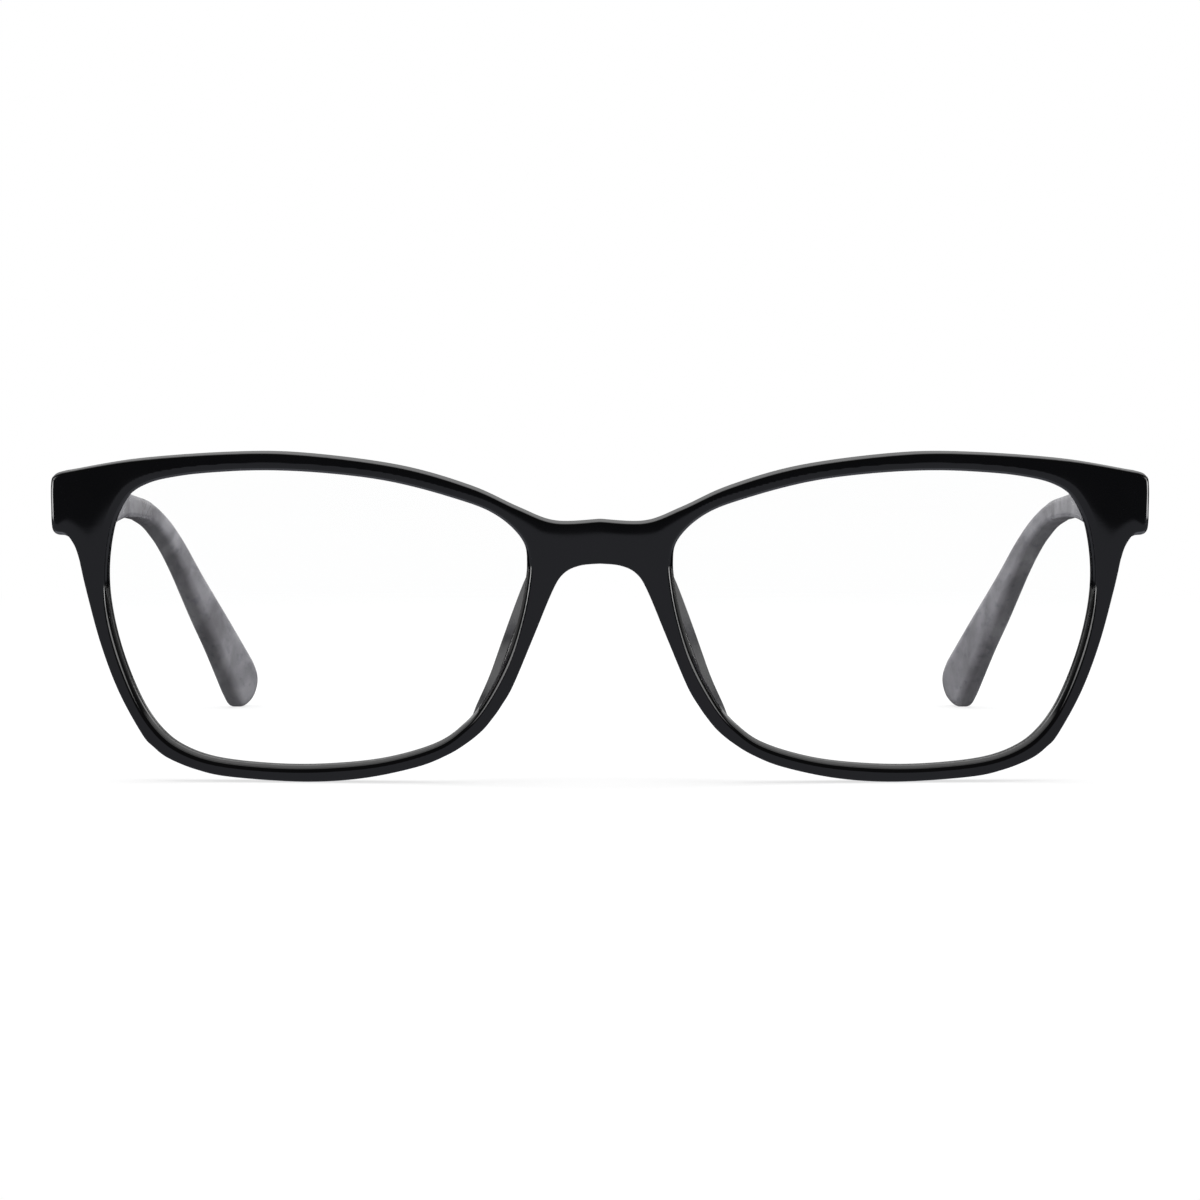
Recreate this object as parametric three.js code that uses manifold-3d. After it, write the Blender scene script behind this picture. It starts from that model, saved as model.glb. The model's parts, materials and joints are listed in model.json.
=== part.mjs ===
// Eyeglasses frame: black plastic full-rim front, five-barrel hinges and marbled side arms (temples).
// Millimetres, +Z up, the front faces -Y. Every part is drawn as the glasses are worn, with level
// temples, and the whole is then pitched onto its rest: lower rims and temple tips at z = 0.
// Worn coordinates: origin on the lenses' middle line, halfway between the two lenses.

import * as THREE from 'three';
import { mergeVertices } from 'three/addons/utils/BufferGeometryUtils.js';
import Module from 'manifold-3d';

const wasm = await Module();
wasm.setup();

const RIGHT = 1;
const LEFT = -1;
const FIT = 0.1; // gap left all round a piece that is set into another
const ROUND_SIDES = 12; // facets round a barrel, rivet or screw

// Front
const RIM_DEPTH = 4;
const EDGE_ROUND = 0.4; // polished outer edges
const FRONT_CHAMFER = 0.6; // slope round each opening on the front face
const CHAMFER_DEPTH = 1;
const BACK_CHAMFER = 0.45; // sloped lip behind the groove, over which the lens is pressed in
const BACK_CHAMFER_DEPTH = 1.5;
const WRAP_RADIUS = 540; // the front is bent to this radius
const FRONT_TILT = THREE.MathUtils.degToRad(7); // the lower rims lean towards the cheeks
const LENS_THICK = 1.4;
const LENS_MIDDLE = 1.85; // depth of the lens's middle behind the front face
const LENS_EDGE = 0.4; // how far the bevelled lens edge reaches into the rim

// End piece and hinge, in worn coordinates of the wearer's side at +X
const INNER_X = 64.3; // inner face of end piece and temple
const OUTER_X = 67.9;
const PIN_X = 63.5;
const PIN_Y = 14;
const BUTT_GAP = 0.1; // each side of the hinge axis
const LEAF_LOW = 11.5;
const LEAF_HIGH = 16.7;
const LEAF_THICK = 0.75;
const LEAF_X = 64; // inner face of both leaves
const BARREL_RADIUS = 1.1;
const BARREL_COUNT = 5;
const BARREL_GAP = 0.15;
const SCREW_RADIUS = 0.55;
const SCREW_HEAD_RADIUS = 0.7;
const RIVET_RADIUS = 0.5;
const RIVET_LENGTH = 2.9;
const FRONT_RIVET_Y = [9.5, 11.4];
const TEMPLE_RIVET_Y = [17.6, 20.2];
const FRONT_LEAF_START = 8.2;
const TEMPLE_LEAF_END = 22;
const WEB = 1.35; // from the hinge axis to where a leaf is full height

// Temple
const TEMPLE_THICK = 3.6; // at the hinge
const SLIM_THICK = 2.8; // behind the taper
const TAPER_START = 50;
const TAPER_END = 78;
const CURL_START = 94; // behind this the temple turns in towards the head
const CURL_LENGTH = 10;
const CURL_SLOPE = 0.36;
const CORE_RADIUS = 0.55;
const CORE_POCKET = 0.75;

const REST_PITCH = THREE.MathUtils.degToRad(3.03);

const plastic = (color, roughness) => new THREE.MeshStandardMaterial({ color, roughness, metalness: 0 });
const metal = () => new THREE.MeshStandardMaterial({ color: 0xb9bbbd, roughness: 0.3, metalness: 1 });

// ---------- solids ----------

function solid(geometry) {
  const bare = geometry.clone();
  bare.deleteAttribute('normal');
  bare.deleteAttribute('uv');
  const merged = mergeVertices(bare, 1e-4);
  return new wasm.Manifold(new wasm.Mesh({
    numProp: 3,
    vertProperties: new Float32Array(merged.getAttribute('position').array),
    triVerts: new Uint32Array(merged.index.array),
  }));
}

function geometryOf(body) {
  const { vertProperties, triVerts } = body.getMesh();
  const geometry = new THREE.BufferGeometry();
  geometry.setAttribute('position', new THREE.BufferAttribute(vertProperties, 3));
  geometry.setIndex(new THREE.BufferAttribute(triVerts, 1));
  return geometry;
}

function cut(body, ...tools) {
  return tools.reduce((rest, tool) => rest.subtract(solid(tool)), body);
}

function block(x0, x1, y0, y1, z0, z1) {
  const box = new THREE.BoxGeometry(x1 - x0, y1 - y0, z1 - z0);
  return box.translate((x0 + x1) / 2, (y0 + y1) / 2, (z0 + z1) / 2);
}

// A cylinder whose axis runs along X, for rivets and their holes.
function pinAcross(radius, x0, x1, y, z) {
  const pin = new THREE.CylinderGeometry(radius, radius, x1 - x0, ROUND_SIDES);
  return pin.rotateZ(Math.PI / 2).translate((x0 + x1) / 2, y, z);
}

function pinUp(radius, x, y, z0, z1) {
  const pin = new THREE.CylinderGeometry(radius, radius, z1 - z0, ROUND_SIDES);
  return pin.rotateX(Math.PI / 2).translate(x, y, (z0 + z1) / 2);
}

// ---------- bending flat work ----------

// Cuts one convex polygon at a plane across an axis into the part below and the part above.
function splitAt(polygon, axis, plane) {
  const below = [];
  const above = [];
  polygon.forEach((a, i) => {
    const b = polygon[(i + 1) % polygon.length];
    const sideA = Math.sign(a[axis] - plane);
    const sideB = Math.sign(b[axis] - plane);
    if (sideA <= 0) below.push(a);
    if (sideA >= 0) above.push(a);
    if (sideA * sideB < 0) {
      const [low, high] = sideA < 0 ? [a, b] : [b, a];
      const share = (plane - low[axis]) / (high[axis] - low[axis]);
      const crossing = low.clone().lerp(high, share);
      crossing[axis] = plane;
      below.push(crossing);
      above.push(crossing);
    }
  });
  return [below, above];
}

// Cuts every triangle at even steps along an axis, so that a flat face can be bent.
function sliceAlong(geometry, axis, step) {
  const position = (geometry.index ? geometry.toNonIndexed() : geometry).getAttribute('position');
  const points = [];
  const addFan = (polygon) => {
    for (let k = 1; k < polygon.length - 1; k += 1) points.push(polygon[0], polygon[k], polygon[k + 1]);
  };
  for (let i = 0; i < position.count; i += 3) {
    let rest = [0, 1, 2].map((k) => new THREE.Vector3().fromBufferAttribute(position, i + k));
    const along = rest.map((corner) => corner[axis]);
    const last = Math.max(...along);
    for (let plane = (Math.floor(Math.min(...along) / step) + 1) * step; plane < last; plane += step) {
      const [below, above] = splitAt(rest, axis, plane);
      addFan(below);
      rest = above;
    }
    addFan(rest);
  }
  return new THREE.BufferGeometry().setFromPoints(points);
}

function warp(geometry, move) {
  const position = geometry.getAttribute('position');
  const point = new THREE.Vector3();
  for (let i = 0; i < position.count; i += 1) {
    move(point.fromBufferAttribute(position, i));
    position.setXYZ(i, point.x, point.y, point.z);
  }
  return geometry;
}

function wrapPoint(point) {
  const angle = point.x / WRAP_RADIUS;
  const radius = WRAP_RADIUS - point.y;
  point.x = radius * Math.sin(angle);
  point.y = WRAP_RADIUS - radius * Math.cos(angle);
}

// Takes flat front work (x across, y depth, z up) to its wrapped and tilted place on the face.
function placeOnFront(body) {
  const sliced = sliceAlong(geometryOf(body), 'x', 12);
  return solid(warp(sliced, wrapPoint).rotateX(FRONT_TILT));
}

// ---------- front ----------

const at = (points) => points.map(([x, z]) => new THREE.Vector2(x, z));
const mirrored = (points) => points.map(([x, z]) => [-x, z]).reverse();

// Outlines on the front face, as [x, z] points of the half at +X.
const BROW = [[0, 12], [5.6, 11.8], [10.2, 13.5], [16.1, 16.15], [25, 18.65], [36.9, 20.13], [46, 20.2],
  [58, 19.25], [67.1, 17.65]];
const END_PIECE = [[67.1, 17.65], [68.25, 17.1], [68.5, 15.8], [68.5, 13.5], [68.42, 11.4], [68, 10.35],
  [66.7, 10], [65.6, 8.5], [65, 6.7]];
const LOWER_RIM = [[65, 6.7], [64.2, 3], [62.44, -3.74], [60.21, -9.77], [57.34, -15.04], [55.9, -16.65],
  [54, -18.06], [50.52, -19.43], [46.2, -20.3], [37, -20.8], [29.6, -20.3], [22.83, -18.84],
  [18.98, -17.29], [16.44, -15.71], [14.6, -14.17], [13.33, -12.64], [12.29, -11.15], [10.8, -8.58],
  [8.3, -2.6], [5.85, 3.35], [4.45, 5.5], [2.5, 6.45], [0, 6.7]];

const OPENING = [[41.1, 18.6], [33.5, 18.25], [26, 17.3], [18.5, 15.4], [13.4, 13.55], [10.45, 11.4],
  [8.85, 9.15], [8.55, 6.8], [8.75, 4.4], [9.45, 0.6], [10.9, -4.4], [12.65, -8.25], [15.05, -12.1],
  [16.9, -14.05], [19.7, -16.1], [26.15, -18.2], [33.8, -19.15], [41.4, -19.2], [49.1, -18.3],
  [52.95, -16.8], [55.1, -15.15], [57.45, -12.05], [60.1, -5.95], [61.65, 0.15], [62.05, 4.8], [61.6, 9.4],
  [60.75, 12.4], [58.9, 15.35], [56.4, 16.85], [52.4, 17.8], [47.3, 18.35]];

function frontOutline() {
  const shape = new THREE.Shape();
  const runs = [BROW, END_PIECE, LOWER_RIM, mirrored(LOWER_RIM), mirrored(END_PIECE), mirrored(BROW)];
  shape.moveTo(...BROW[0]);
  runs.forEach((run) => shape.splineThru(at(run.slice(1))));
  return shape;
}

const OPENING_SIDES = 54;

function openingOutline(side) {
  const points = side === RIGHT ? OPENING : mirrored(OPENING);
  const ring = points.map(([x, z]) => new THREE.Vector3(x, z, 0));
  const curve = new THREE.CatmullRomCurve3(ring, true);
  const corners = curve.getPoints(OPENING_SIDES).slice(0, -1);
  return new THREE.Shape(corners.map(({ x, y }) => new THREE.Vector2(x, y)));
}

// Extrudes a flat outline from depth y0 to y1. Its ends are set out from the outline by `ends`, and
// its middle by `middle`, reached over the depth `slope`.
function slab(shape, [y0, y1], { ends, middle, slope }) {
  const geometry = new THREE.ExtrudeGeometry(shape, {
    depth: y1 - y0 - 2 * slope,
    curveSegments: 3,
    bevelThickness: slope,
    bevelSize: middle - ends,
    bevelOffset: ends,
    bevelSegments: 1,
  });
  return geometry.rotateX(Math.PI / 2).translate(0, y1 - slope, 0);
}

// The front before its openings are cut.
function flatFront() {
  return solid(slab(frontOutline(), [0, RIM_DEPTH], { ends: -EDGE_ROUND, middle: 0, slope: EDGE_ROUND }));
}

// What is cut away for one lens: the opening with its sloped front and back edges, and the groove.
function openingCutters(side) {
  const shape = openingOutline(side);
  const wall = -FRONT_CHAMFER;
  return [
    slab(shape, [-1, RIM_DEPTH + 1], { ends: wall - 0.01, middle: wall, slope: 0.1 }),
    slab(shape, [-CHAMFER_DEPTH, CHAMFER_DEPTH], { ends: wall, middle: 0, slope: CHAMFER_DEPTH - 0.02 }),
    slab(shape, [RIM_DEPTH - BACK_CHAMFER_DEPTH, RIM_DEPTH + BACK_CHAMFER_DEPTH],
      { ends: -BACK_CHAMFER, middle: 0, slope: BACK_CHAMFER_DEPTH - 0.02 }),
    flatLens(side, FIT),
  ];
}

// The lens blank with its V edge; with grow it is the groove's cutter.
function flatLens(side, grow = 0) {
  const half = LENS_THICK / 2 + grow;
  const edge = { ends: -FRONT_CHAMFER - FIT, middle: -FRONT_CHAMFER + LENS_EDGE + grow, slope: half - 0.1 };
  return slab(openingOutline(side), [LENS_MIDDLE - half, LENS_MIDDLE + half], edge);
}

// The block behind the end piece that carries the hinge: its plan, and its height.
const LUG_PLAN = [[62.8, 4.5], [62.8, 6.4], [63.3, 7.2], [INNER_X, 7.9], [INNER_X, PIN_Y - BUTT_GAP],
  [OUTER_X, PIN_Y - BUTT_GAP], [OUTER_X, 7.5], [67.3, 4.5]];
const LUG_LOW = 10.6;
const LUG_HIGH = 17.4;

function endPieceLug() {
  const inset = EDGE_ROUND;
  const geometry = new THREE.ExtrudeGeometry(new THREE.Shape(at(LUG_PLAN)), {
    depth: LUG_HIGH - LUG_LOW - 2 * inset,
    bevelThickness: inset,
    bevelSize: inset,
    bevelOffset: -inset,
    bevelSegments: 1,
  });
  return geometry.translate(0, 0, LUG_LOW + inset);
}

const LEAF_MIDDLE = (LEAF_LOW + LEAF_HIGH) / 2;
const RECESS_X = LEAF_X + LEAF_THICK + FIT;

function leafRecess(y0, y1) {
  return block(PIN_X - 3, RECESS_X, y0 - FIT, y1 + FIT, LEAF_LOW - FIT, LEAF_HIGH + FIT);
}

function rivetHole(y) {
  return pinAcross(RIVET_RADIUS + FIT, LEAF_X - 1, LEAF_X + RIVET_LENGTH + 0.2, y, LEAF_MIDDLE);
}

function frontFrame() {
  let body = placeOnFront(cut(flatFront(), ...openingCutters(RIGHT), ...openingCutters(LEFT)));
  for (const side of [RIGHT, LEFT]) {
    const lug = cut(
      solid(endPieceLug()),
      leafRecess(FRONT_LEAF_START, PIN_Y + 1),
      ...FRONT_RIVET_Y.map(rivetHole),
    );
    body = body.add(onSide(lug, side));
  }
  return body;
}

// A pad is a rounded strip along the back of the nasal rim. Its outline runs along the rim (u) and back
// towards the face (v), and it splays outward as the nose widens.
const PAD_WING = [[-9.6, -1.5], [-9.5, 1.2], [-8.6, 3.4], [-6.3, 4.6], [-2, 5], [3, 5], [7.3, 4.7],
  [10.5, 3.9], [12.5, 2.2], [13.2, 0.4], [13.3, -1.5]];
const PAD_PLACE = [9.95, RIM_DEPTH, -2.7];
const PAD_THICK = 1.8;
const PAD_ROUND = 0.65;
const PAD_EDGE = 0.5;
const PAD_LEAN = THREE.MathUtils.degToRad(20);
const PAD_SPLAY = THREE.MathUtils.degToRad(15);
const PAD_BEND_START = 5; // from here down the strip follows the rim outward
const PAD_BEND = 0.02;

function nosePad() {
  const wing = new THREE.Shape();
  wing.moveTo(...PAD_WING[0]);
  wing.splineThru(at(PAD_WING.slice(1)));
  const pad = new THREE.ExtrudeGeometry(wing, {
    depth: PAD_THICK - 2 * PAD_ROUND,
    bevelThickness: PAD_ROUND,
    bevelSize: PAD_EDGE,
    bevelOffset: -PAD_EDGE,
    bevelSegments: 2,
    curveSegments: 2,
  });
  pad.translate(0, 0, PAD_ROUND - PAD_THICK / 2);
  warp(pad, (point) => { point.z += PAD_BEND * Math.max(0, point.x - PAD_BEND_START) ** 2; });
  const along = new THREE.Vector3(Math.sin(PAD_LEAN), 0, -Math.cos(PAD_LEAN));
  const out = new THREE.Vector3(Math.cos(PAD_LEAN), 0, Math.sin(PAD_LEAN));
  const back = new THREE.Vector3(0, Math.cos(PAD_SPLAY), 0).addScaledVector(out, Math.sin(PAD_SPLAY));
  const across = along.clone().cross(back);
  pad.applyMatrix4(new THREE.Matrix4().makeBasis(along, back, across));
  pad.translate(...PAD_PLACE);
  return placeOnFront(cut(solid(pad), block(0, 30, -5, RIM_DEPTH + FIT, -25, 25)));
}

// ---------- hinge ----------

function knuckle(index, towards) {
  const pitch = (LEAF_HIGH - LEAF_LOW + BARREL_GAP) / BARREL_COUNT;
  const z0 = LEAF_LOW + index * pitch;
  const z1 = z0 + pitch - BARREL_GAP;
  const [y0, y1] = towards > 0 ? [PIN_Y, PIN_Y + WEB + 0.5] : [PIN_Y - WEB - 0.5, PIN_Y];
  const barrel = solid(pinUp(BARREL_RADIUS, PIN_X, PIN_Y, z0, z1));
  return barrel.add(solid(block(LEAF_X, LEAF_X + LEAF_THICK, y0, y1, z0, z1)));
}

function leaf(y0, y1, towards, indexes, rivets) {
  let body = solid(block(LEAF_X, LEAF_X + LEAF_THICK, y0, y1, LEAF_LOW, LEAF_HIGH));
  indexes.forEach((index) => { body = body.add(knuckle(index, towards)); });
  const bore = pinUp(SCREW_RADIUS + FIT, PIN_X, PIN_Y, LEAF_LOW - 1, LEAF_HIGH + 1);
  return cut(body, bore, ...rivets.map(rivetHole));
}

const frontLeaf = () => leaf(FRONT_LEAF_START, PIN_Y - WEB, -1, [0, 2, 4], FRONT_RIVET_Y);
const templeLeaf = () => leaf(PIN_Y + WEB, TEMPLE_LEAF_END, 1, [1, 3], TEMPLE_RIVET_Y);

// Slotted screw, turned about its axis, head on top.
function hingeScrew() {
  const head = LEAF_HIGH + 0.05;
  const tip = LEAF_LOW - 0.25;
  const profile = [[0, tip], [SCREW_RADIUS - 0.15, tip], [SCREW_RADIUS, tip + 0.2], [SCREW_RADIUS, head],
    [SCREW_HEAD_RADIUS, head], [SCREW_HEAD_RADIUS, head + 0.35], [SCREW_HEAD_RADIUS - 0.15, head + 0.5],
    [0, head + 0.5]];
  const body = new THREE.LatheGeometry(at(profile), ROUND_SIDES).rotateX(Math.PI / 2);
  return cut(solid(body.translate(PIN_X, PIN_Y, 0)),
    block(PIN_X - 1, PIN_X + 1, PIN_Y - 0.13, PIN_Y + 0.13, head + 0.25, head + 1));
}

function rivet(y) {
  const head = LEAF_X - 0.05;
  const dome = 0.25;
  const profile = [[0, -dome], [0.45, -dome], [0.75, -0.08], [0.75, 0], [RIVET_RADIUS, 0],
    [RIVET_RADIUS, RIVET_LENGTH], [0, RIVET_LENGTH]];
  const body = new THREE.LatheGeometry(at(profile), ROUND_SIDES).rotateZ(-Math.PI / 2);
  return solid(body.translate(head, y, LEAF_MIDDLE));
}

// ---------- temple ----------

// Outlines of the straight temple seen from its side, as [y, z] points.
const TEMPLE_TOP = [[13, 17.6], [40, 17.45], [69, 16.75], [90, 16.45], [97.5, 16], [103.2, 14.5],
  [109, 11.15], [115.9, 5.9], [125.5, -1.2], [132.75, -6.7]];
const TEMPLE_TIP = [[132.75, -6.7], [134.3, -8.6], [134.5, -10.5], [133.3, -12.4], [131.2, -13.55],
  [129.2, -13.75], [127.4, -12.4], [125.8, -10.75]];
const TEMPLE_BOTTOM = [[125.8, -10.75], [121, -5.6], [116.5, -1.2], [113, 2.5], [109.8, 5.9], [106.7, 8.8],
  [103.6, 11.1], [99.8, 12.8], [94, 13.55], [86, 13.7], [74, 13.7], [58, 13.3], [40, 12], [26, 10.9],
  [13, 10.5]];

// Distance that the temple has turned in at y, measured from its straight inner face.
function curlAt(y) {
  const run = Math.max(0, y - CURL_START);
  const turning = Math.min(run, CURL_LENGTH);
  return CURL_SLOPE * (turning * turning / (2 * CURL_LENGTH) + run - turning);
}

function thickAt(y) {
  const share = THREE.MathUtils.smoothstep(y, TAPER_START, TAPER_END);
  return THREE.MathUtils.lerp(TEMPLE_THICK, SLIM_THICK, share);
}

function shapeTemplePoint(point) {
  const scaled = (point.x - INNER_X) * thickAt(point.y) / TEMPLE_THICK;
  point.x = INNER_X + scaled - curlAt(point.y);
}

function templeBlank() {
  const side = new THREE.Shape();
  side.moveTo(...TEMPLE_TOP[0]);
  side.splineThru(at(TEMPLE_TOP.slice(1)));
  side.splineThru(at(TEMPLE_TIP.slice(1)));
  side.splineThru(at(TEMPLE_BOTTOM.slice(1)));
  const round = 0.7;
  const geometry = new THREE.ExtrudeGeometry(side, {
    depth: TEMPLE_THICK - 2 * round,
    bevelThickness: round,
    bevelSize: round,
    bevelOffset: -round,
    bevelSegments: 1,
    curveSegments: 2,
  });
  const forward = new THREE.Vector3(0, 1, 0);
  const up = new THREE.Vector3(0, 0, 1);
  const across = new THREE.Vector3(1, 0, 0);
  geometry.applyMatrix4(new THREE.Matrix4().makeBasis(forward, up, across));
  geometry.translate(INNER_X + round, 0, 0);
  return solid(warp(sliceAlong(geometry, 'y', 10), shapeTemplePoint));
}

// Round bar along the middle of the temple, from the given start to short of the tip.
function coreBar(radius, start, end) {
  const middle = [[start, 12.25], [30, 12.9], [45, 14.6], [60, 15.05], [90, 15.05], [97.5, 14.7],
    [102.6, 13.2], [108, 9.7], [115, 3.1], end];
  const path = middle.map(([y, z]) => {
    const middleX = INNER_X + Math.max(thickAt(y), SLIM_THICK) / 2 - curlAt(y);
    return new THREE.Vector3(middleX, y, z);
  });
  const ring = new THREE.Shape().absarc(0, 0, radius, 0, Math.PI * 2);
  const extrudePath = new THREE.CatmullRomCurve3(path);
  return new THREE.ExtrudeGeometry(ring, { steps: 20, curveSegments: 4, bevelEnabled: false, extrudePath });
}

const coreWire = () => solid(coreBar(CORE_RADIUS, PIN_Y + 1, [122.6, -4.7]));

function temple() {
  const butt = PIN_Y + BUTT_GAP;
  return cut(
    templeBlank(),
    block(PIN_X - 9, OUTER_X + 9, 0, butt, 0, 30),
    leafRecess(0, TEMPLE_LEAF_END),
    ...TEMPLE_RIVET_Y.map(rivetHole),
    coreBar(CORE_POCKET, PIN_Y - 1, [123, -5.1]),
  );
}

// ---------- assembly ----------

// Parts are drawn at +X; the left one is their mirror image.
function onSide(body, side) {
  if (side === RIGHT) return body;
  const geometry = geometryOf(body).scale(-1, 1, 1);
  const index = geometry.index.array;
  for (let i = 0; i < index.length; i += 3) [index[i], index[i + 1]] = [index[i + 1], index[i]];
  return solid(geometry);
}

const BLACK = plastic(0x0b0b0d, 0.12);
const SMOKE = plastic(0x74777b, 0.18);
const PAD = plastic(0x26272a, 0.15);
const CLEAR = plastic(0xf4f7f8, 0.05);

const worn = new THREE.Group();

function add(name, body, material) {
  const mesh = new THREE.Mesh(geometryOf(body), material.clone());
  mesh.name = name;
  worn.add(mesh);
}

add('front_frame', frontFrame(), BLACK);
for (const side of [LEFT, RIGHT]) {
  const hand = side === RIGHT ? 'right' : 'left';
  add(`lens_${hand}`, placeOnFront(solid(flatLens(side))), CLEAR);
  add(`nose_pad_${hand}`, onSide(nosePad(), side), PAD);
  add(`hinge_front_leaf_${hand}`, onSide(frontLeaf(), side), metal());
  FRONT_RIVET_Y.forEach((y, i) => add(`front_rivet_${hand}_${i + 1}`, onSide(rivet(y), side), metal()));
  add(`hinge_screw_${hand}`, onSide(hingeScrew(), side), metal());
  add(`hinge_temple_leaf_${hand}`, onSide(templeLeaf(), side), metal());
  TEMPLE_RIVET_Y.forEach((y, i) => add(`temple_rivet_${hand}_${i + 1}`, onSide(rivet(y), side), metal()));
  add(`temple_${hand}`, onSide(temple(), side), SMOKE);
  add(`temple_core_wire_${hand}`, onSide(coreWire(), side), metal());
}

// Pitched onto the table, then moved so that the origin is the middle of the underside.
worn.rotation.x = -REST_PITCH;
worn.updateMatrixWorld(true);
const extent = new THREE.Box3().setFromObject(worn, true);
worn.position.set(0, -(extent.min.y + extent.max.y) / 2, -extent.min.z);

const glasses = new THREE.Group();
glasses.add(worn);
export default glasses;
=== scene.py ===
"""Eyeglasses frame: polished shapes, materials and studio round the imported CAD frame.

Every piece is worked out as a field: distance in millimetres, negative inside. Hinges and temples are
made in worn coordinates: +X across, +Y back along the level temples, +Z up, origin halfway between the
lenses. Front, pads and lenses are made in flat front work, which is then bent and tilted into worn
coordinates. Each field is turned into an even mesh, placed by the hinge axis that the CAD record gives.
"""

import json
import math

import bpy
import numpy as np
from mathutils import Matrix, Vector

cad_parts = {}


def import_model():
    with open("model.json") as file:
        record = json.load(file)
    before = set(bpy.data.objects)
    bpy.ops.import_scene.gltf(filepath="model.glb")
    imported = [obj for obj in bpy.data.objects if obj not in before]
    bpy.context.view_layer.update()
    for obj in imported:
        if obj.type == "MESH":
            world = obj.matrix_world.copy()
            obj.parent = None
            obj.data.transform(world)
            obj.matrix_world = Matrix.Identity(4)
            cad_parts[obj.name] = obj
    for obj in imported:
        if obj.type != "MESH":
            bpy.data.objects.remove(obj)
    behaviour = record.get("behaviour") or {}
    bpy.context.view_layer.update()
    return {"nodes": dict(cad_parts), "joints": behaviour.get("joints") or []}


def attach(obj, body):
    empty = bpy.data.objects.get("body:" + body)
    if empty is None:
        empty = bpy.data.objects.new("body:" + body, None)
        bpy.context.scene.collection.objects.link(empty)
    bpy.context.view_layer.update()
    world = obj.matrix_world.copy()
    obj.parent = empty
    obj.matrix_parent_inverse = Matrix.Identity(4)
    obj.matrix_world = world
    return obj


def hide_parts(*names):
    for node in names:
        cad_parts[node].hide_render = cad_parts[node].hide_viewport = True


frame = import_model()

# ---------- sizes shared with the CAD, in millimetres ----------

RIM_DEPTH = 4.0
WRAP_RADIUS = 540.0
FRONT_TILT = math.radians(7)
CHAMFER = 0.6
CHAMFER_DEPTH = 1.0
BACK_CHAMFER = 0.45
BACK_CHAMFER_DEPTH = 1.5
LUG_Z = (10.6, 17.4)
LENS_MIDDLE = 1.85
LENS_HALF = 0.7
PIN = (63.5, 14.0)
HINGE_MIDDLE = 14.1
INNER_X, OUTER_X = 64.3, 67.9
BUTT_GAP = 0.1
LEAF_X = (64.0, 64.75)
LEAF_Z = (11.5, 16.7)
LEAF_REACH = {"front": (8.2, 12.65), "temple": (15.35, 22.0)}
RECESS_X = 64.85
BARRELS = {"front": (0, 2, 4), "temple": (1, 3)}
BARREL_GAP = 0.15
BARREL_RADIUS = 1.1
SCREW_RADIUS = 0.55
RIVET_Y = {"front": (9.5, 11.4), "temple": (17.6, 20.2)}
RIVET_LENGTH = 2.9
TEMPLE_THICK, SLIM_THICK = 3.6, 2.8
TAPER = (50.0, 78.0)
CURL_START, CURL_LENGTH, CURL_SLOPE = 94.0, 10.0, 0.36
CORE_SPOT = (66.1, 12.25)

BROW = [(0, 12), (5.6, 11.8), (10.2, 13.5), (16.1, 16.15), (25, 18.65), (36.9, 20.13), (46, 20.2),
        (58, 19.25), (67.1, 17.65)]
END_PIECE = [(67.1, 17.65), (68.25, 17.1), (68.5, 15.8), (68.5, 13.5), (68.42, 11.4), (68, 10.35),
             (66.7, 10), (65.6, 8.5), (65, 6.7)]
LOWER_RIM = [(65, 6.7), (64.2, 3), (62.44, -3.74), (60.21, -9.77), (57.34, -15.04), (55.9, -16.65),
             (54, -18.06), (50.52, -19.43), (46.2, -20.3), (37, -20.8), (29.6, -20.3), (22.83, -18.84),
             (18.98, -17.29), (16.44, -15.71), (14.6, -14.17), (13.33, -12.64), (12.29, -11.15),
             (10.8, -8.58), (8.3, -2.6), (5.85, 3.35), (4.45, 5.5), (2.5, 6.45), (0, 6.7)]
OPENING = [(41.1, 18.6), (33.5, 18.25), (26, 17.3), (18.5, 15.4), (13.4, 13.55), (10.45, 11.4),
           (8.85, 9.15), (8.55, 6.8), (8.75, 4.4), (9.45, 0.6), (10.9, -4.4), (12.65, -8.25),
           (15.05, -12.1), (16.9, -14.05), (19.7, -16.1), (26.15, -18.2), (33.8, -19.15), (41.4, -19.2),
           (49.1, -18.3), (52.95, -16.8), (55.1, -15.15), (57.45, -12.05), (60.1, -5.95), (61.65, 0.15),
           (62.05, 4.8), (61.6, 9.4), (60.75, 12.4), (58.9, 15.35), (56.4, 16.85), (52.4, 17.8),
           (47.3, 18.35)]
TEMPLE_SIDE = [
    [(13, 17.6), (40, 17.45), (69, 16.75), (90, 16.45), (97.5, 16), (103.2, 14.5), (109, 11.15),
     (115.9, 5.9), (125.5, -1.2), (132.75, -6.7)],
    [(132.75, -6.7), (134.3, -8.6), (134.5, -10.5), (133.3, -12.4), (131.2, -13.55), (129.2, -13.75),
     (127.4, -12.4), (125.8, -10.75)],
    [(125.8, -10.75), (121, -5.6), (116.5, -1.2), (113, 2.5), (109.8, 5.9), (106.7, 8.8), (103.6, 11.1),
     (99.8, 12.8), (94, 13.55), (86, 13.7), (74, 13.7), (58, 13.3), (40, 12), (26, 10.9), (13, 10.5)],
]
PAD_WING = [(-9.6, -1.5), (-9.5, 1.2), (-8.6, 3.4), (-6.3, 4.6), (-2, 5), (3, 5), (7.3, 4.7), (10.5, 3.9),
            (12.5, 2.2), (13.2, 0.4), (13.3, -1.5)]
PAD_PLACE = np.array((9.95, RIM_DEPTH, -2.7))
PAD_HALF = 0.9
PAD_LEAN, PAD_SPLAY = math.radians(20), math.radians(15)
PAD_BEND_START, PAD_BEND = 5.0, 0.02

# ---------- finer shaping that only the visual model has, in millimetres ----------

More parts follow.
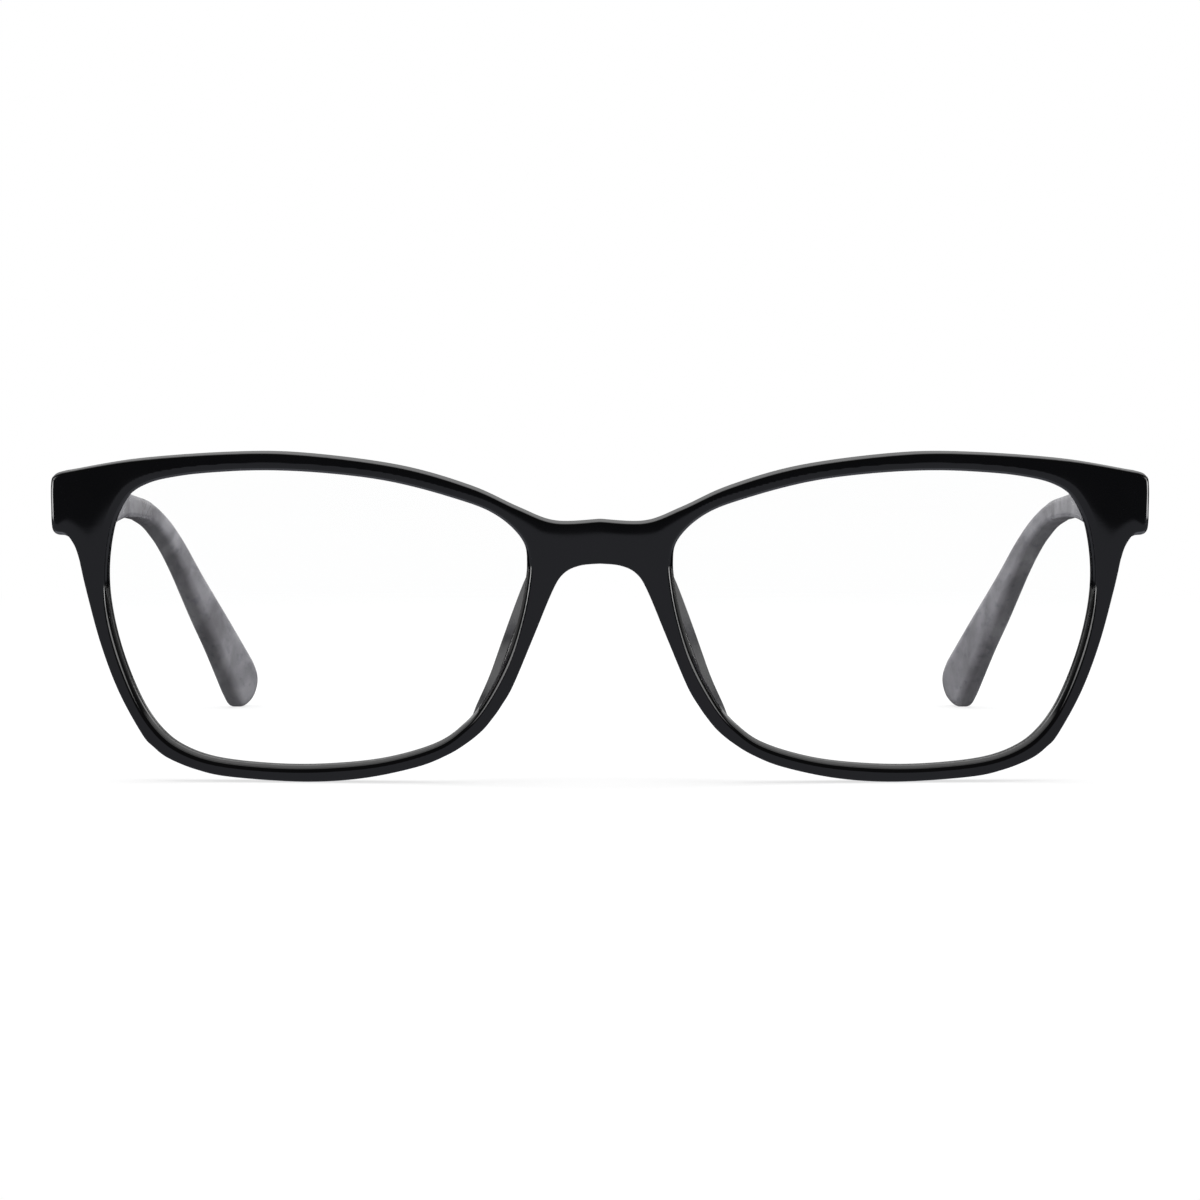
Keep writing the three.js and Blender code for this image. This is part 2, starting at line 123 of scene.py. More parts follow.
CROWN = 0.03  # how far the polished front face falls away at its edges
CROWN_REACH = 2.2
FACE_ROUND, BACK_ROUND = 0.28, 0.8  # outer edges of the front
SILL_ROUND = 0.3  # where the opening's walls meet the front and back faces
LIP_ROUND = 0.2  # edges of the slopes and of the groove inside the opening
GROOVE_SLOPE = 0.75  # how fast the lens groove deepens towards its middle
LUG_START = 4.2  # well inside the rim, which it grows out of
LUG_ROUND, LUG_FILLET = 0.6, 1.3
BUTT_ROUND = 0.15  # edges of the faces where front and temple meet
LENS_EDGE = 0.2  # gap between the opening's outline and the ridge of the lens's V edge
LENS_RIDGE = 0.1  # half the width of that ridge
ARM_ROUND, TIP_ROUND = 0.45, 1.25
SOFTENING = (92.0, 118.0)  # where the temple's edges go from the first radius to the second
RECESS_GAP = 0.1  # between a leaf and its recess
MOUTH_RADIUS, MOUTH_DEPTH = 0.7, 3.0  # of the core wire's bore, in the temple's butt face
PAD_ROUND = 0.85
BARREL_EDGE, WEB_EDGE, LEAF_EDGE = 0.1, 0.1, 0.12
RIVET_DISH, RIVET_SINK = 0.8, 0.06
RIVET_CAP, RIVET_SHANK = 0.75, 0.5
DOME_RADIUS, DOME_RISE = 1.15, 0.25
SCREW_HEAD, HEAD_HEIGHT = 0.7, 0.5
SLOT_HALF, SLOT_DEPTH = 0.12, 0.26
THREAD_PITCH, THREAD_DEPTH, THREAD_LENGTH = 0.25, 0.04, 1.0

# ---------- where worn coordinates lie in the row frame ----------

HINGE = next(j for j in frame["joints"] if j["name"] == "temple_fold_right")
PITCH = math.atan2(HINGE["axis"][1], HINGE["axis"][2])
TURN = np.array(Matrix.Rotation(-PITCH, 3, "X"))
ORIGIN = np.array(HINGE["pos_m"]) - TURN @ np.array((*PIN, HINGE_MIDDLE)) / 1000


def row_place(points):
    """Worn millimetres to row-frame metres."""
    return np.asarray(points, float) @ TURN.T / 1000 + ORIGIN


# ---------- outlines ----------


def through(points, steps=10):
    """Points along the smooth curve through an open run of points."""
    p = np.array(points, float)
    last = len(p) - 1
    run = [p[:1]]
    t = (np.arange(1, steps + 1) / steps)[:, None]
    for i in range(last):
        a, b, c, d = p[max(i - 1, 0)], p[i], p[i + 1], p[min(i + 2, last)]
        m, n = (c - a) / 2, (d - b) / 2
        run.append((2 * b - 2 * c + m + n) * t**3 + (3 * c - 3 * b - 2 * m - n) * t**2 + m * t + b)
    return np.vstack(run)


def ring_through(points, steps=12):
    """Points along the closed centripetal curve through a ring of points."""
    p = np.array(points, float)
    t = (np.arange(steps) / steps)[:, None]
    run = []
    for i in range(len(p)):
        a, b, c, d = (p[(i + k) % len(p)] for k in (-1, 0, 1, 2))
        ab, bc, cd = (math.sqrt(np.linalg.norm(v)) for v in (b - a, c - b, d - c))
        m = ((b - a) / ab - (c - a) / (ab + bc) + (c - b) / bc) * bc
        n = ((c - b) / bc - (d - b) / (bc + cd) + (d - c) / cd) * bc
        run.append((2 * b - 2 * c + m + n) * t**3 + (3 * c - 3 * b - 2 * m - n) * t**2 + m * t + b)
    return np.vstack(run)


class DistanceMap:
    """Signed distance to a closed outline, negative inside, read off a fine grid."""

    def __init__(self, outline, margin=2.5, step=0.2, low=None):
        a = outline
        b = np.roll(outline, -1, axis=0)
        keep = np.linalg.norm(b - a, axis=1) > 1e-9
        a, b = a[keep], b[keep]
        self.low = a.min(0) - margin if low is None else np.array(low, float)
        size = np.ceil((a.max(0) + margin - self.low) / step).astype(int) + 1
        self.step, self.size = step, size
        u = self.low[0] + step * np.arange(size[0])
        v = self.low[1] + step * np.arange(size[1])
        self.grid = np.empty(tuple(size))
        along = b - a
        square = (along**2).sum(1)
        for i, x in enumerate(u):
            px = x - a[:, 0]
            py = v[:, None] - a[None, :, 1]
            share = np.clip((px * along[:, 0] + py * along[:, 1]) / square, 0, 1)
            gap = np.hypot(px - share * along[:, 0], py - share * along[:, 1]).min(1)
            rises = (a[:, 1] > v[:, None]) != (b[:, 1] > v[:, None])
            with np.errstate(divide="ignore", invalid="ignore"):
                cross = a[:, 0] + py * along[:, 0] / along[:, 1]
            inside = (rises & (x < cross)).sum(1) % 2 == 1
            self.grid[i] = np.where(inside, -gap, gap)

    def __call__(self, u, v):
        gu = np.clip((u - self.low[0]) / self.step, 0, self.size[0] - 1.001)
        gv = np.clip((v - self.low[1]) / self.step, 0, self.size[1] - 1.001)
        i, j = gu.astype(int), gv.astype(int)
        s, t = gu - i, gv - j
        g = self.grid
        return (g[i, j] * (1 - s) * (1 - t) + g[i + 1, j] * s * (1 - t)
                + g[i, j + 1] * (1 - s) * t + g[i + 1, j + 1] * s * t)


def mirror_run(points):
    return np.array(points)[::-1] * (-1, 1)


def front_outline():
    half = np.vstack([through(run, 8) for run in (BROW, END_PIECE, LOWER_RIM)])
    return np.vstack([half, mirror_run(half)])


HALF_LOW = (-1.5, -23.5)  # the front is the same on both sides, so its map holds one half
OUTER = DistanceMap(front_outline(), low=HALF_LOW)
HOLE = DistanceMap(ring_through(OPENING), margin=8)
SIDE = DistanceMap(np.vstack([through(run, 8) for run in TEMPLE_SIDE]))
WING = DistanceMap(through(PAD_WING), step=0.1)

# ---------- fields ----------


def meet(a, b, r):
    """What two fields share, with the edge between them rounded to radius r."""
    corner = np.hypot(np.maximum(a + r, 0), np.maximum(b + r, 0))
    return np.minimum(np.maximum(a, b), -r) + corner


def join(a, b, r):
    """Two fields together, with a fillet of radius r."""
    corner = np.hypot(np.maximum(r - a, 0), np.maximum(r - b, 0))
    return np.maximum(np.minimum(a, b), r) - corner


def span(v, low, high):
    """Field of the slab between two values of one coordinate."""
    return np.abs(v - (low + high) / 2) - (high - low) / 2


def ease(v, ends):
    """0 before the first end, 1 past the second, and a smooth rise between."""
    t = np.clip((v - ends[0]) / (ends[1] - ends[0]), 0, 1)
    return t * t * (3 - 2 * t)


def block(x, y, z, xs, ys, zs, r):
    return meet(meet(span(x, *xs), span(y, *ys), r), span(z, *zs), r)


def unwrap(x, y, z):
    """Worn coordinates to flat front work: x across, y depth behind the front face, z up."""
    depth = y * math.cos(FRONT_TILT) + z * math.sin(FRONT_TILT)
    height = -y * math.sin(FRONT_TILT) + z * math.cos(FRONT_TILT)
    radius = np.hypot(x, WRAP_RADIUS - depth)
    across = WRAP_RADIUS * np.arctan2(x, WRAP_RADIUS - depth)
    return across, WRAP_RADIUS - radius, height


def bent(across, depth, height):
    """Flat front work to worn coordinates."""
    angle, radius = across / WRAP_RADIUS, WRAP_RADIUS - depth
    x, y = radius * np.sin(angle), WRAP_RADIUS - radius * np.cos(angle)
    c, s = math.cos(FRONT_TILT), math.sin(FRONT_TILT)
    return x, y * c - height * s, y * s + height * c


def wrap(points):
    return np.stack(bent(*points.T), axis=1)


def leaf_recess(x, y, z, ys):
    """What is cut from the plastic's inner side for a hinge leaf."""
    zs = (LEAF_Z[0] - RECESS_GAP, LEAF_Z[1] + RECESS_GAP)
    return block(x, y, z, (PIN[0] - 4, RECESS_X), ys, zs, 0.08)


def front_field(x, y, z):
    """The front in worn coordinates, the same on both sides."""
    x = np.abs(x)
    across, depth, height = unwrap(x, y, z)
    outer, hole = OUTER(across, height), HOLE(across, height)
    crown = CROWN * (np.clip(1 + outer / CROWN_REACH, 0, 1)**2 + np.clip(1 - hole / CROWN_REACH, 0, 1)**2)
    rim = meet(meet(outer, crown - depth, FACE_ROUND), depth - RIM_DEPTH, BACK_ROUND)
    wall = -(hole + CHAMFER)
    slope = -(hole + depth * CHAMFER / CHAMFER_DEPTH) / math.hypot(1, CHAMFER / CHAMFER_DEPTH)
    back_slope = BACK_CHAMFER / BACK_CHAMFER_DEPTH
    back = -(hole + (RIM_DEPTH - depth) * back_slope) / math.hypot(1, back_slope)
    groove = -(hole + GROOVE_SLOPE * np.abs(depth - LENS_MIDDLE)) / math.hypot(1, GROOVE_SLOPE)
    edge = meet(meet(meet(wall, slope, LIP_ROUND), back, SILL_ROUND), groove, LIP_ROUND)
    rim = meet(rim, edge, SILL_ROUND)
    lug = meet(span(x, INNER_X, OUTER_X), span(z, *LUG_Z), LUG_ROUND)
    lug = meet(lug, span(y, LUG_START, PIN[1] - BUTT_GAP), BUTT_ROUND)
    lug = np.maximum(lug, 1.0 - depth)
    body = join(rim, lug, LUG_FILLET)
    recess = leaf_recess(x, y, z, (LEAF_REACH["front"][0] - RECESS_GAP, PIN[1] + 1))
    return meet(body, -recess, BUTT_ROUND)


def temple_field(x, y, z):
    """The temple before it is tapered and curled in."""
    radius = ARM_ROUND + (TIP_ROUND - ARM_ROUND) * ease(y, SOFTENING)
    body = meet(SIDE(y, z), span(x, INNER_X, OUTER_X), radius)
    body = meet(body, PIN[1] + BUTT_GAP - y, BUTT_ROUND)
    recess = leaf_recess(x, y, z, (PIN[1] - 1, LEAF_REACH["temple"][1] + RECESS_GAP))
    body = meet(body, -recess, 0.1)
    mouth = np.hypot(x - CORE_SPOT[0], z - CORE_SPOT[1]) - MOUTH_RADIUS
    return np.maximum(body, -np.maximum(mouth, y - PIN[1] - MOUTH_DEPTH))


def temple_bend(points):
    """Straight temple work to its tapered shape, curled in behind the bend."""
    x, y, z = points.T
    thick = TEMPLE_THICK + (SLIM_THICK - TEMPLE_THICK) * ease(y, TAPER)
    run = np.maximum(0, y - CURL_START)
    turning = np.minimum(run, CURL_LENGTH)
    curl = CURL_SLOPE * (turning**2 / (2 * CURL_LENGTH) + run - turning)
    return np.stack([INNER_X + (x - INNER_X) * thick / TEMPLE_THICK - curl, y, z], axis=1)


PAD_ALONG = np.array((math.sin(PAD_LEAN), 0, -math.cos(PAD_LEAN)))
PAD_OUT = np.array((math.cos(PAD_LEAN), 0, math.sin(PAD_LEAN)))
PAD_BACK = np.array((0, math.cos(PAD_SPLAY), 0)) + math.sin(PAD_SPLAY) * PAD_OUT
PAD_ACROSS = np.cross(PAD_ALONG, PAD_BACK)


def pad_field(x, y, z):
    """One nose pad in flat front work: a leaning strip that follows the rim outward at its lower end."""
    p = (x - PAD_PLACE[0], y - PAD_PLACE[1], z - PAD_PLACE[2])
    u, v, w = (sum(p[k] * axis[k] for k in range(3)) for axis in (PAD_ALONG, PAD_BACK, PAD_ACROSS))
    w = w - PAD_BEND * np.maximum(0, u - PAD_BEND_START)**2
    body = meet(WING(u, v), np.abs(w) - PAD_HALF, PAD_ROUND)
    return meet(body, RIM_DEPTH + 0.03 - y, 0.1)


def lens_field(x, y, z):
    """One lens in flat front work, with the V edge that sits in the groove."""
    hole = HOLE(x, z)
    aside = np.abs(y - LENS_MIDDLE)
    slope = (CHAMFER + 0.1 - LENS_EDGE) / (LENS_HALF - LENS_RIDGE)
    bevel = (hole + LENS_EDGE + (aside - LENS_RIDGE) * slope) / math.hypot(1, slope)
    return meet(bevel, aside - LENS_HALF, 0.05)


def barrel_levels(kind):
    pitch = (LEAF_Z[1] - LEAF_Z[0] + BARREL_GAP) / 5
    return [(LEAF_Z[0] + i * pitch, LEAF_Z[0] + (i + 1) * pitch - BARREL_GAP) for i in BARRELS[kind]]


def leaf_field(kind):
    reach = LEAF_REACH[kind]
    web = (PIN[1], reach[0] + 0.5) if kind == "temple" else (reach[1] - 0.5, PIN[1])

    def field(x, y, z):
        body = block(x, y, z, LEAF_X, reach, LEAF_Z, LEAF_EDGE)
        round_barrel = np.hypot(x - PIN[0], y - PIN[1]) - BARREL_RADIUS
        for level in barrel_levels(kind):
            barrel = meet(round_barrel, span(z, *level), BARREL_EDGE)
            arm = block(x, y, z, LEAF_X, web, level, WEB_EDGE)
            body = join(body, join(barrel, arm, 0.15), 0.05)
        body = meet(body, SCREW_RADIUS + 0.03 - np.hypot(x - PIN[0], y - PIN[1]), 0.06)
        dishes = [np.hypot(y - row, z - HINGE_MIDDLE) - RIVET_DISH for row in RIVET_Y[kind]]
        dish = np.maximum(np.minimum(*dishes), x - (LEAF_X[0] + RIVET_SINK))
        return np.maximum(body, -dish)

    return field


def screw_field(x, y, z):
    top, tip = LEAF_Z[1] + 0.05, LEAF_Z[0] - 0.25
    r = np.hypot(x - PIN[0], y - PIN[1])
    turn = np.arctan2(y - PIN[1], x - PIN[0]) / (2 * math.pi)
    flank = np.abs(((z / THREAD_PITCH - turn) % 1) * 2 - 1)
    thread = THREAD_DEPTH * flank * (z < LEAF_Z[0] + THREAD_LENGTH)
    shank = meet(r - SCREW_RADIUS + thread, span(z, tip, top + 0.1), 0.12)
    head = meet(r - SCREW_HEAD, span(z, top, top + HEAD_HEIGHT), 0.14)
    slot = np.maximum(np.abs(y - PIN[1]) - SLOT_HALF, top + HEAD_HEIGHT - SLOT_DEPTH - z)
    return np.maximum(join(shank, head, 0.05), -slot)


def rivet_field(row):
    def field(x, y, z):
        r = np.hypot(y - row, z - HINGE_MIDDLE)
        head = LEAF_X[0] + RIVET_SINK
        dome = np.hypot(r, x - (head + DOME_RADIUS - DOME_RISE)) - DOME_RADIUS
        cap = meet(meet(dome, r - RIVET_CAP, 0.08), x - head, 0.04)
        shank = meet(r - RIVET_SHANK, span(x, head - 0.1, LEAF_X[0] + RIVET_LENGTH), 0.1)
        return np.minimum(cap, shank)

    return field


# ---------- fields to meshes ----------

CORNERS = [(i, j, k) for i in (0, 1) for j in (0, 1) for k in (0, 1)]
UNIT = np.eye(3, dtype=int)


def surface_net(value):
    """Vertices, in grid steps, and outward quads of the surface where value is 0."""
    inside = value < 0
    size = np.array(value.shape) - 1
    window = {c: tuple(slice(c[k], c[k] + size[k]) for k in range(3)) for c in CORNERS}
    count = sum(inside[window[c]].astype(np.int8) for c in CORNERS)
    cells = np.argwhere((count > 0) & (count < 8))
    number = np.full(size, -1, np.int64)
    number[tuple(cells.T)] = np.arange(len(cells))
    total, hits = np.zeros((len(cells), 3)), np.zeros(len(cells))
    for axis in range(3):
        for c in (c for c in CORNERS if c[axis] == 0):
            start = cells + c
            a, b = value[tuple(start.T)], value[tuple((start + UNIT[axis]).T)]
            cross = (a < 0) != (b < 0)
            point = start[cross].astype(float)
            point[:, axis] += a[cross] / (a[cross] - b[cross])
            total[cross] += point
            hits[cross] += 1
    quads = []
    for axis in range(3):
        u, v = UNIT[(axis + 1) % 3], UNIT[(axis + 2) % 3]
        low = tuple(slice(None, -1) if k == axis else slice(None) for k in range(3))
        high = tuple(slice(1, None) if k == axis else slice(None) for k in range(3))
        edges = np.argwhere(inside[low] != inside[high])
        ring = np.stack([number[tuple(e.T)] for e in (edges, edges - u, edges - u - v, edges - v)], axis=1)
        leaves = inside[tuple(edges.T)]
        quads.append(np.where(leaves[:, None], ring, ring[:, ::-1]))
    return total / hits[:, None], np.vstack(quads)


def settle(points, field, step):
    """Moves each vertex onto the field's surface."""
    h = 0.01
    for _ in range(3):
        value = field(*points.T)
        slope = np.stack([(field(*(points + d).T) - field(*(points - d).T)) / (2 * h)
                          for d in np.eye(3) * h], axis=1)
        move = -value[:, None] * slope / np.maximum((slope**2).sum(1), 0.25)[:, None]
        length = np.linalg.norm(move, axis=1)[:, None]
        points = points + move * np.minimum(1, 0.5 * step / np.maximum(length, 1e-9))
    return points


def mesh_of(field, low, high, step):
    axes = [np.arange(a - 2 * step, b + 3 * step, step) for a, b in zip(low, high)]
    y, z = np.meshgrid(axes[1], axes[2], indexing="ij")
    value = np.stack([field(np.full_like(y, x), y, z) for x in axes[0]])
    steps, quads = surface_net(value)
    origin = np.array([axis[0] for axis in axes])
    return settle(origin + steps * step, field, step), quads


def piece(name, points, quads, body, nodes, material, mirror=False):
    """A smooth mesh object from worn coordinates, riding on a CAD body in place of CAD nodes."""
    if mirror:
        points, quads = points * (-1, 1, 1), quads[:, ::-1]
    mesh = bpy.data.meshes.new(name)
    mesh.vertices.add(len(points))
    mesh.vertices.foreach_set("co", row_place(points).astype(np.float32).ravel())
    mesh.loops.add(quads.size)
    mesh.loops.foreach_set("vertex_index", quads.astype(np.int32).ravel())
    mesh.polygons.add(len(quads))
    mesh.polygons.foreach_set("loop_start", np.arange(0, quads.size, 4, dtype=np.int32))
    mesh.update(calc_edges=True)
    mesh.polygons.foreach_set("use_smooth", np.ones(len(quads), bool))
    mesh.validate()
    obj = bpy.data.objects.new(name, mesh)
    bpy.context.scene.collection.objects.link(obj)
    obj.data.materials.append(material)
    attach(obj, body)
    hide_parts(*nodes)
    return obj


# ---------- node trees ----------


class Tree:
    """Short forms for building a node tree."""

    def __init__(self, tree):
        self.tree = tree

    def new(self, kind, **settings):
        node = self.tree.nodes.new(kind)
        for key, value in settings.items():
            setattr(node, key, value)
        return node

    def link(self, out, into):
        self.tree.links.new(out, into)

    def feed(self, value, into):
        """Gives a socket a plain value, or another node's output."""
        if hasattr(value, "is_linked"):
            self.link(value, into)
        else:
            into.default_value = value

    def math(self, operation, a, b):
        node = self.new("ShaderNodeMath", operation=operation)
        self.feed(a, node.inputs[0])
        self.feed(b, node.inputs[1])
        return node.outputs[0]

    def remap(self, value, low, high, to_low, to_high, shape="LINEAR"):
        node = self.new("ShaderNodeMapRange", interpolation_type=shape)
        for key, number in (("From Min", low), ("From Max", high), ("To Min", to_low), ("To Max", to_high)):
            node.inputs[key].default_value = number
        self.link(value, node.inputs["Value"])
        return node.outputs["Result"]

    def split(self, vector):
        node = self.new("ShaderNodeSeparateXYZ")
        self.link(vector, node.inputs[0])
        return node.outputs

    def blend(self, first, second, share):
        """The first shader where share is 0, the second where it is 1."""
        node = self.new("ShaderNodeMixShader")
        for value, into in zip((share, first, second), node.inputs):
            self.feed(value, into)
        return node.outputs[0]


# ---------- materials ----------


class Nodes(Tree):
    """One material's node tree, with its principled shader and its noise patterns."""

    def __init__(self, name):
        self.material = bpy.data.materials.new(name)
        self.material.use_nodes = True
        super().__init__(self.material.node_tree)
        self.shader = self.tree.nodes["Principled BSDF"]
        self.output = self.tree.nodes["Material Output"]
        self.place = self.new("ShaderNodeTexCoord").outputs["Object"]

    def stretch(self, scale, turn=(0, 0, 0)):
        node = self.new("ShaderNodeMapping")
        node.inputs["Scale"].default_value = scale
        node.inputs["Rotation"].default_value = turn
        self.link(self.place, node.inputs["Vector"])
        return node.outputs["Vector"]

    def noise(self, vector, scale, detail=4.0, rough=0.55, distort=0.0):
        node = self.new("ShaderNodeTexNoise")
        node.inputs["Scale"].default_value = scale
        node.inputs["Detail"].default_value = detail
        node.inputs["Roughness"].default_value = rough
        node.inputs["Distortion"].default_value = distort
        self.link(vector, node.inputs["Vector"])
        return node.outputs["Fac"]

    def ramp(self, fac, *stops):
        node = self.new("ShaderNodeValToRGB")
        elements = node.color_ramp.elements
        while len(elements) < len(stops):
            elements.new(0.5)
        for element, (at, colour) in zip(elements, stops):
            element.position = at
            element.color = (*colour, 1) if len(colour) == 3 else (colour[0],) * 3 + (1,)
        self.link(fac, node.inputs["Fac"])
        return node.outputs["Color"]

    def bump(self, height, strength, distance):
        node = self.new("ShaderNodeBump")
        node.inputs["Strength"].default_value = strength
        node.inputs["Distance"].default_value = distance
        self.link(height, node.inputs["Height"])
        return node.outputs["Normal"]

    def set(self, **inputs):
        for key, value in inputs.items():
            self.feed(value, self.shader.inputs[key.replace("_", " ")])


def hairline_scratches(nodes):
    """Height of fine rubbed lines in two directions, as a cleaning cloth leaves them."""
    one = nodes.noise(nodes.stretch((900, 90, 1400), (0.2, 0.5, 0.3)), 1.0, 3)
    two = nodes.noise(nodes.stretch((80, 700, 1500), (0.6, -0.4, 1.1)), 1.0, 3)
    return nodes.math("MULTIPLY", one, two)


def black_acetate():
    n = Nodes("black_acetate")
    cloud = n.noise(n.place, 60, 5)
    lines = hairline_scratches(n)
    n.set(Base_Color=n.ramp(cloud, (0.3, (0.0008, 0.0008, 0.001)), (0.75, (0.002, 0.002, 0.0024))),
          Roughness=n.remap(cloud, 0.3, 0.7, 0.035, 0.085), IOR=1.5,
          Normal=n.bump(lines, 0.03, 0.00002))
    return n.material


PAINTED_SHEEN = 1.15  # painted sheen: how much paler the temple's colour is made at its front end, standing in for the light seen there
PAINTED_SHEEN_FADE = (0.022, 0.036)  # distance along the temple, in metres, over which that fades out


def smoke_acetate():
    """Grey marbled sheet: soft pale and dark clouds drawn out along the temple, and fine darker flecks. Its
    front end is made paler by a painted sheen.
    """
    n = Nodes("smoke_acetate")
    warp = n.noise(n.stretch((60, 30, 60)), 1.0, 3)
    clouds = n.noise(n.stretch((200, 80, 150), (0.6, 0, 0)), 1.0, 3, 0.45, 0.8)
    streaks = n.noise(n.stretch((520, 120, 330), (0.6, 0, 0)), 1.0, 4, 0.6, 0.5)
    mix = n.new("ShaderNodeMix", data_type="FLOAT")
    mix.inputs["Factor"].default_value = 0.2
    n.link(clouds, mix.inputs["A"])
    n.link(streaks, mix.inputs["B"])
    sheet = n.ramp(mix.outputs["Result"], (0.3, (0.17, 0.166, 0.18)), (0.44, (0.235, 0.232, 0.25)),
                   (0.56, (0.31, 0.307, 0.33)), (0.7, (0.4, 0.397, 0.42)))
    flecks = n.ramp(n.noise(n.stretch((800, 400, 800)), 1.0, 3), (0.33, (0.84, 0.84, 0.86)), (0.44, (1,)))
    # painted sheen: the colour is lifted towards the temple's front end, standing in for light falling there
    pale = n.remap(n.split(n.place)["Y"], *PAINTED_SHEEN_FADE, PAINTED_SHEEN, 1.0)
    colour = n.new("ShaderNodeVectorMath", operation="MULTIPLY")
    n.link(sheet, colour.inputs[0])
    n.link(flecks, colour.inputs[1])
    faded = n.new("ShaderNodeVectorMath", operation="SCALE")
    n.link(colour.outputs["Vector"], faded.inputs[0])
    n.link(pale, faded.inputs["Scale"])
    n.set(Base_Color=faded.outputs["Vector"], Roughness=n.remap(warp, 0.3, 0.7, 0.14, 0.26), IOR=1.5,
          Subsurface_Weight=0.12, Subsurface_Radius=(1, 1, 1), Subsurface_Scale=0.0006,
          Normal=n.bump(hairline_scratches(n), 0.05, 0.00002))
    return n.material


def pad_acetate():
    n = Nodes("pad_acetate")
    cloud = n.noise(n.place, 220, 5)
    n.set(Base_Color=n.ramp(cloud, (0.3, (0.01, 0.01, 0.011)), (0.7, (0.03, 0.03, 0.032))),
          Roughness=n.remap(cloud, 0.3, 0.7, 0.1, 0.18), IOR=1.5,
          Normal=n.bump(hairline_scratches(n), 0.05, 0.00002))
    return n.material


COATING = 0.4  # share of the reflection that a coated lens keeps


def display_lens():
    """Clear lens: nearly all light passes, and the faces reflect a little, more at a slant."""
    n = Nodes("display_lens")
    smear = n.noise(n.stretch((60, 60, 90)), 1.0, 4)
    clear = n.new("ShaderNodeBsdfTransparent")
    clear.inputs["Color"].default_value = (0.998, 0.999, 0.999, 1)
    gloss = n.new("ShaderNodeBsdfGlossy")
    n.link(n.remap(smear, 0.3, 0.7, 0.0, 0.03), gloss.inputs["Roughness"])
    fresnel = n.new("ShaderNodeFresnel")
    fresnel.inputs["IOR"].default_value = 1.3
    inside = n.new("ShaderNodeNewGeometry").outputs["Backfacing"]
    outside = n.math("MAXIMUM", n.math("SUBTRACT", fresnel.outputs[0], inside), 0.0)
    share = n.math("MULTIPLY", outside, COATING)
    n.link(n.blend(clear.outputs[0], gloss.outputs[0], share), n.output.inputs["Surface"])
    n.tree.nodes.remove(n.shader)
    return n.material


def nickel_silver(name, tone, rough, lines):
    """Metal with a tumbled, slightly uneven polish, and tooling lines as fine as lines says on each axis."""
    n = Nodes(name)
    cloud = n.noise(n.place, 700, 4)
    tooled = n.noise(n.stretch(lines), 1.0, 2)
    n.set(Base_Color=n.ramp(cloud, (0.3, tuple(0.94 * c for c in tone)), (0.7, tone)), Metallic=1.0,
          Roughness=n.remap(cloud, 0.3, 0.7, rough - 0.03, rough + 0.03),
          Normal=n.bump(tooled, 0.12, 0.00003))
    return n.material


BLACK = black_acetate()
SMOKE = smoke_acetate()
PAD = pad_acetate()
LENS = display_lens()
LEAF_METAL = nickel_silver("hinge_nickel", (0.66, 0.65, 0.62), 0.3, (900, 900, 9000))
RIVET_METAL = nickel_silver("rivet_nickel", (0.7, 0.69, 0.66), 0.26, (9000, 1500, 1500))
SCREW_METAL = nickel_silver("screw_steel", (0.72, 0.72, 0.73), 0.22, (1200, 1200, 12000))
CORE_METAL = nickel_silver("core_nickel", (0.6, 0.6, 0.57), 0.35, (2000, 300, 2000))

# ---------- pieces ----------

# Grid steps and grid boxes, in the millimetres that each field works in.
FRONT_STEP, TEMPLE_STEP, PAD_STEP, LENS_STEP = 0.22, 0.2, 0.16, 0.3
LEAF_STEP, SCREW_STEP = 0.09, 0.063
FRONT_SPACE = (-70.2, -0.07, -20.9), (70.2, 16.2, 20.3)  # no grid plane lies on the front face, at depth 0
TEMPLE_SPACE = (64.2, 13.8, -14.2), (68, 135.4, 18)
PAD_SPACE = (5, 3.5, -14.2), (18, 10, 7.5)
LENS_SPACE = (8, 1, -20), (63, 3.2, 19.2)


def build_front():
    points, quads = mesh_of(lambda *flat: front_field(*bent(*flat)), *FRONT_SPACE, FRONT_STEP)
    piece("front_polished", wrap(points), quads, "front", ["front_frame"], BLACK)


def build_pair(name, field, low, high, step, body, node, slot, material, shape=lambda p: p):
    """A right piece and its mirror image, both on the front or each on the temple of its own side."""
    points, quads = mesh_of(field, low, high, step)
    points = shape(points)
    for hand, mirror in (("right", False), ("left", True)):
        owner = body if body == "front" else f"{body}_{hand}"
        piece(name.format(hand), points, quads, owner, [node.format(hand)], material, mirror)


def build_hinges():
    z = (LEAF_Z[0] - 0.5, LEAF_Z[1] + 0.8)
    for kind, body in (("front", "front"), ("temple", "temple_arm")):
        low = (62.2, min(LEAF_REACH[kind][0], PIN[1] - 1.2), z[0])
        high = (65, max(LEAF_REACH[kind][1], PIN[1] + 1.2), z[1])
        build_pair(f"leaf_{kind}_{{}}", leaf_field(kind), low, high, LEAF_STEP, body,
                   f"hinge_{kind}_leaf_{{}}", "hinge_metal", LEAF_METAL)
        for i, row in enumerate(RIVET_Y[kind], 1):
            low, high = (63.6, row - 0.9, HINGE_MIDDLE - 0.9), (67, row + 0.9, HINGE_MIDDLE + 0.9)
            build_pair(f"rivet_{kind}_{{}}_{i}", rivet_field(row), low, high, LEAF_STEP, body,
                       f"{kind}_rivet_{{}}_{i}", "rivet_metal", RIVET_METAL)
    build_pair("screw_{}", screw_field, (62.6, 13.1, z[0]), (64.4, 14.9, z[1]), SCREW_STEP, "front",
               "hinge_screw_{}", "screw_metal", SCREW_METAL)


